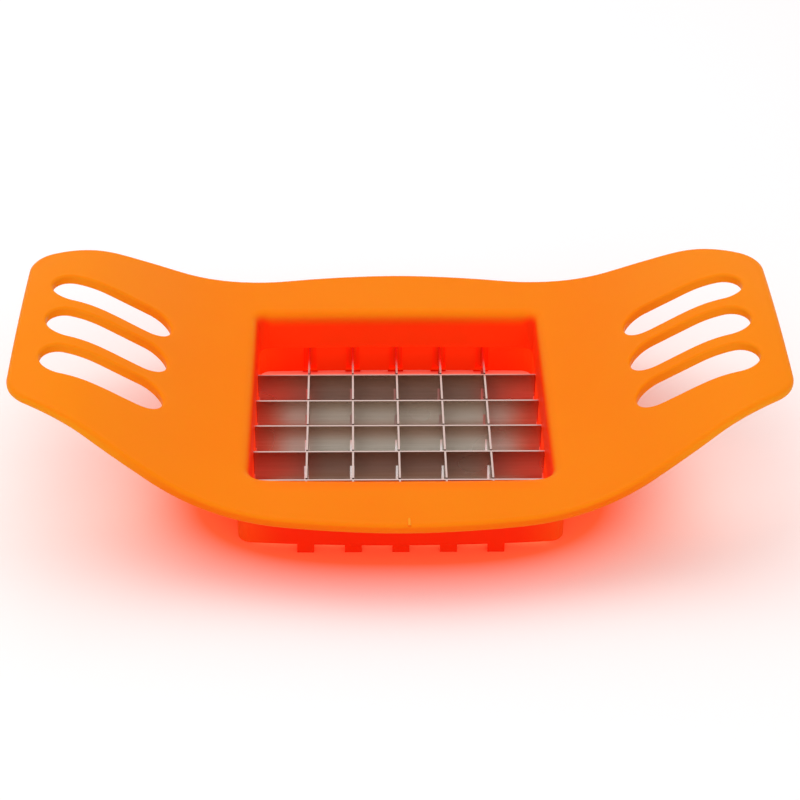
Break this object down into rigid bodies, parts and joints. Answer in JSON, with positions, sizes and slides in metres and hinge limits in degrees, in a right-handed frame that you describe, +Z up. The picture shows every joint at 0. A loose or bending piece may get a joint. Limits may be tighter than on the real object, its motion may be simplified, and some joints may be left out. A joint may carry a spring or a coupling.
{
  "type": "french fry cutter",
  "caption": "Hand-pressed potato stick cutter: a winged plate with finger slots around a square well that holds a grid of crossed steel blades, on a footed lower frame.",
  "frame": {"origin": "centre of the bounding box, on the plane that the feet stand on", "axes": "+X from wing to wing (right), +Y to the back, +Z up, away from the worktop"},
  "size_m": [0.195, 0.1158, 0.0444],
  "materials": {
    "body_plastic": "smooth satin-gloss moulded plastic, slightly translucent orange",
    "frame_plastic": "the same translucent moulded plastic, deeper red-orange where it stands in its own shade",
    "blade_steel": "thin rolled stainless strip with a fine lengthwise grain and a ground lower edge"
  },
  "bodies": {
    "root": {"winged_body": "body_plastic", "blade_frame": "frame_plastic", "lengthwise_blade_1": "blade_steel", "lengthwise_blade_2": "blade_steel", "lengthwise_blade_3": "blade_steel", "lengthwise_blade_4": "blade_steel", "lengthwise_blade_5": "blade_steel", "crosswise_blade_1": "blade_steel", "crosswise_blade_2": "blade_steel", "crosswise_blade_3": "blade_steel", "crosswise_blade_4": "blade_steel", "crosswise_blade_5": "blade_steel"}
  },
  "joints": []
}
